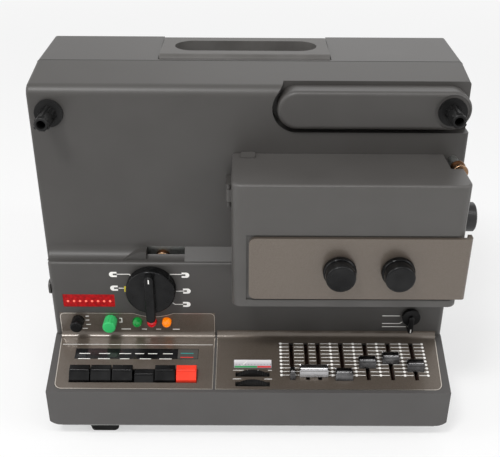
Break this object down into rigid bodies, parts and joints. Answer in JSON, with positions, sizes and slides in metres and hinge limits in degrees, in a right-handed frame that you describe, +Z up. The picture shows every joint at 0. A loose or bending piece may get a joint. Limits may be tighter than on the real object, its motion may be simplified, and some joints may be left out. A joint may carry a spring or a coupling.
{
  "type": "movie projector",
  "caption": "Table-top sound film projector with a sloped control console, hinged lens cover, fold-out reel arm and folding carrying handle.",
  "frame": {"origin": "on the table, below the middle of the casing", "axes": "+X to the operator's right, the lens side; +Y to the back; +Z up"},
  "size_m": [0.393, 0.212, 0.336],
  "materials": {
    "dark_enamel": "satin",
    "brown_enamel": "satin",
    "black_plastic": "satin",
    "gloss_black": "gloss",
    "grey_plastic": "satin",
    "green_plastic": "gloss",
    "clear_green": "gloss",
    "clear_red": "gloss",
    "clear_amber": "gloss",
    "red_plastic": "satin",
    "steel": "brushed",
    "polished_aluminium": "polished",
    "brass": "satin",
    "rubber": "matte",
    "smoked_window": "gloss",
    "lens_black": "satin",
    "circuit_board": "matte"
  },
  "bodies": {
    "casing": {"base_tray": "brown_enamel", "bottom_pan": "steel", "fixed_feet": "rubber", "front_casing": "dark_enamel", "rear_cover": "dark_enamel", "left_panel": "brown_enamel", "right_panel": "brown_enamel", "indicator_window": "gloss_black", "display_window": "smoked_window", "level_meter": "grey_plastic", "chassis_plate": "steel", "lens_holder": "polished_aluminium", "film_gate": "steel", "projection_lamp": "polished_aluminium", "sound_head": "grey_plastic", "motor": "steel", "belts": "rubber", "transformer": "steel", "control_board": "circuit_board", "console_board": "circuit_board", "speaker": "black_plastic", "socket_panel": "black_plastic", "casing_screws": "steel"},
    "foot": {"levelling_foot": "rubber"},
    "cover": {"lens_cover": "dark_enamel", "focus_panel": "brown_enamel"},
    "handle": {"carry_handle": "black_plastic"},
    "lens": {"lens": "lens_black"},
    "shutter": {"shutter": "steel"},
    "sprocket": {"feed_sprocket": "black_plastic"},
    "flywheel": {"flywheel": "steel"},
    "inlet_roller": {"inlet_roller": "brass"},
    "outlet_roller": {"outlet_roller": "brass"},
    "rotor": {"motor_rotor": "grey_plastic"},
    "arm": {"spool_arm": "dark_enamel"},
    "supply": {"supply_spindle": "black_plastic"},
    "takeup": {"takeup_spindle": "black_plastic"},
    "mode": {"mode_knob": "gloss_black"},
    "fade": {"fade_knob": "gloss_black"},
    "green": {"green_knob": "green_plastic"},
    "speed": {"speed_lever": "gloss_black"},
    "framer": {"framer_knob": "gloss_black"},
    "focus": {"focus_knob": "gloss_black"},
    "green_button": {"green_button": "clear_green"},
    "red_button": {"red_button": "clear_red"},
    "amber_button": {"amber_button": "clear_amber"},
    "key_1": {"key_1": "gloss_black"},
    "key_2": {"key_2": "gloss_black"},
    "key_3": {"key_3": "gloss_black"},
    "key_4": {"key_4": "gloss_black"},
    "key_5": {"key_5": "gloss_black"},
    "record_key": {"record_key": "red_plastic"},
    "trim_slider": {"trim_slider": "polished_aluminium"},
    "mix_slider": {"mix_slider": "gloss_black"},
    "manual_slider": {"manual_slider": "gloss_black"},
    "tone_slider": {"tone_slider": "gloss_black"},
    "balance_slider": {"balance_slider": "gloss_black"},
    "volume_slider": {"volume_slider": "gloss_black"},
    "level_wheel": {"level_wheel": "black_plastic"},
    "track_wheel": {"track_wheel": "black_plastic"}
  },
  "joints": [
    {"name": "lens_cover_hinge", "type": "hinge", "parent": "casing", "child": "cover", "pos_m": [-0.0186, -0.0395, 0.202], "axis": [0, 0, -1], "range_deg": [0, 90]},
    {"name": "focus_turn", "type": "hinge", "parent": "cover", "child": "focus", "pos_m": [0.1293, -0.092, 0.1823], "axis": [0, 1, 0], "range_deg": [-150, 150]},
    {"name": "framer_turn", "type": "hinge", "parent": "cover", "child": "framer", "pos_m": [0.0785, -0.092, 0.1823], "axis": [0, 1, 0], "range_deg": [-60, 60]},
    {"name": "lens_slide", "type": "slide", "parent": "casing", "child": "lens", "axis": [1, 0, 0], "range_m": [-0.00248, 0.00248]},
    {"name": "flywheel_spin", "type": "hinge", "parent": "casing", "child": "flywheel", "pos_m": [0.052, -0.01, 0.174], "axis": [0, 1, 0], "continuous": true},
    {"name": "motor_spin", "type": "hinge", "parent": "casing", "child": "rotor", "pos_m": [0.132, 0, 0.122], "axis": [0, 1, 0], "continuous": true},
    {"name": "shutter_spin", "type": "hinge", "parent": "casing", "child": "shutter", "pos_m": [0.09, -0.052, 0.191], "axis": [1, 0, 0], "continuous": true},
    {"name": "sprocket_spin", "type": "hinge", "parent": "casing", "child": "sprocket", "pos_m": [0.118, -0.06, 0.246], "axis": [0, 1, 0], "continuous": true},
    {"name": "inlet_roller_spin", "type": "hinge", "parent": "casing", "child": "inlet_roller", "pos_m": [0.1835, -0.046, 0.2575], "axis": [0, 1, 0], "continuous": true},
    {"name": "outlet_roller_spin", "type": "hinge", "parent": "casing", "child": "outlet_roller", "pos_m": [-0.0835, -0.021, 0.153], "axis": [0, 1, 0], "continuous": true},
    {"name": "arm_swing", "type": "hinge", "parent": "casing", "child": "arm", "pos_m": [0.0415, -0.018, 0.3046], "axis": [0, -1, 0], "range_deg": [0, 55]},
    {"name": "supply_spin", "type": "hinge", "parent": "arm", "child": "supply", "pos_m": [0.1762, -0.04, 0.3046], "axis": [0, 1, 0], "continuous": true},
    {"name": "takeup_spin", "type": "hinge", "parent": "casing", "child": "takeup", "pos_m": [-0.1762, -0.04, 0.3], "axis": [0, 1, 0], "continuous": true},
    {"name": "handle_lift", "type": "hinge", "parent": "casing", "child": "handle", "pos_m": [-0.005, 0.04, 0.33], "axis": [1, 0, 0], "range_deg": [0, 90]},
    {"name": "foot_height", "type": "slide", "parent": "casing", "child": "foot", "axis": [0, 0, -1], "range_m": [0, 0.008]},
    {"name": "mode_turn", "type": "hinge", "parent": "casing", "child": "mode", "pos_m": [-0.094, -0.04, 0.129], "axis": [0, 1, 0], "range_deg": [-80, 112]},
    {"name": "fade_turn", "type": "hinge", "parent": "casing", "child": "fade", "pos_m": [-0.168, -0.045, 0.0905], "axis": [0, 1, 0], "range_deg": [-140, 140]},
    {"name": "green_turn", "type": "hinge", "parent": "casing", "child": "green", "pos_m": [-0.136, -0.045, 0.0905], "axis": [0, 1, 0], "range_deg": [-140, 140]},
    {"name": "speed_turn", "type": "hinge", "parent": "casing", "child": "speed", "pos_m": [0.1593, -0.04, 0.097], "axis": [0, 1, 0], "range_deg": [0, 60]},
    {"name": "green_button_press", "type": "slide", "parent": "casing", "child": "green_button", "axis": [0, 1, 0], "range_m": [0, 0.0015], "stiffness_N_per_m": 300, "springref_m": -0.001},
    {"name": "red_button_press", "type": "slide", "parent": "casing", "child": "red_button", "axis": [0, 1, 0], "range_m": [0, 0.0015], "stiffness_N_per_m": 300, "springref_m": -0.001},
    {"name": "amber_button_press", "type": "slide", "parent": "casing", "child": "amber_button", "axis": [0, 1, 0], "range_m": [0, 0.0015], "stiffness_N_per_m": 300, "springref_m": -0.001},
    {"name": "key_1_press", "type": "slide", "parent": "casing", "child": "key_1", "axis": [0, 0.229, -0.9734], "range_m": [0, 0.006], "stiffness_N_per_m": 150, "springref_m": -0.002},
    {"name": "key_2_press", "type": "slide", "parent": "casing", "child": "key_2", "axis": [0, 0.229, -0.9734], "range_m": [0, 0.006], "stiffness_N_per_m": 150, "springref_m": -0.002},
    {"name": "key_3_press", "type": "slide", "parent": "casing", "child": "key_3", "axis": [0, 0.229, -0.9734], "range_m": [0, 0.006], "stiffness_N_per_m": 150, "springref_m": -0.002},
    {"name": "key_5_press", "type": "slide", "parent": "casing", "child": "key_5", "axis": [0, 0.229, -0.9734], "range_m": [0, 0.006], "stiffness_N_per_m": 150, "springref_m": -0.002},
    {"name": "record_key_press", "type": "slide", "parent": "casing", "child": "record_key", "axis": [0, 0.229, -0.9734], "range_m": [0, 0.006], "stiffness_N_per_m": 150, "springref_m": -0.002},
    {"name": "key_4_press", "type": "slide", "parent": "casing", "child": "key_4", "axis": [0, -0.229, 0.9734], "range_m": [0, 0.006]},
    {"name": "trim_slide", "type": "slide", "parent": "casing", "child": "trim_slider", "axis": [0, 0.9734, 0.229], "range_m": [-0.0006, 0.0374]},
    {"name": "mix_slide", "type": "slide", "parent": "casing", "child": "mix_slider", "axis": [0, 0.9734, 0.229], "range_m": [-0.004, 0.034]},
    {"name": "manual_slide", "type": "slide", "parent": "casing", "child": "manual_slider", "axis": [0, 0.9734, 0.229], "range_m": [0, 0.038]},
    {"name": "tone_slide", "type": "slide", "parent": "casing", "child": "tone_slider", "axis": [0, 0.9734, 0.229], "range_m": [-0.0146, 0.0234]},
    {"name": "balance_slide", "type": "slide", "parent": "casing", "child": "balance_slider", "axis": [0, 0.9734, 0.229], "range_m": [-0.0196, 0.0184]},
    {"name": "volume_slide", "type": "slide", "parent": "casing", "child": "volume_slider", "axis": [0, 0.9734, 0.229], "range_m": [-0.0106, 0.0274]},
    {"name": "level_wheel_turn", "type": "hinge", "parent": "casing", "child": "level_wheel", "pos_m": [0.0038, -0.08107, 0.04651], "axis": [0, 0.9734, 0.229], "range_deg": [-40, 40]},
    {"name": "track_wheel_turn", "type": "hinge", "parent": "casing", "child": "track_wheel", "pos_m": [0.0038, -0.09207, 0.04392], "axis": [0, 0.9734, 0.229], "range_deg": [-40, 40]}
  ],
  "couplings": [
    {"joint": "focus_turn", "follows": "lens_slide", "rad_per_m": 1052.6},
    {"joint": "motor_spin", "follows": "flywheel_spin", "ratio": 2.3333},
    {"joint": "shutter_spin", "follows": "flywheel_spin", "ratio": 4},
    {"joint": "sprocket_spin", "follows": "flywheel_spin", "ratio": 1}
  ]
}
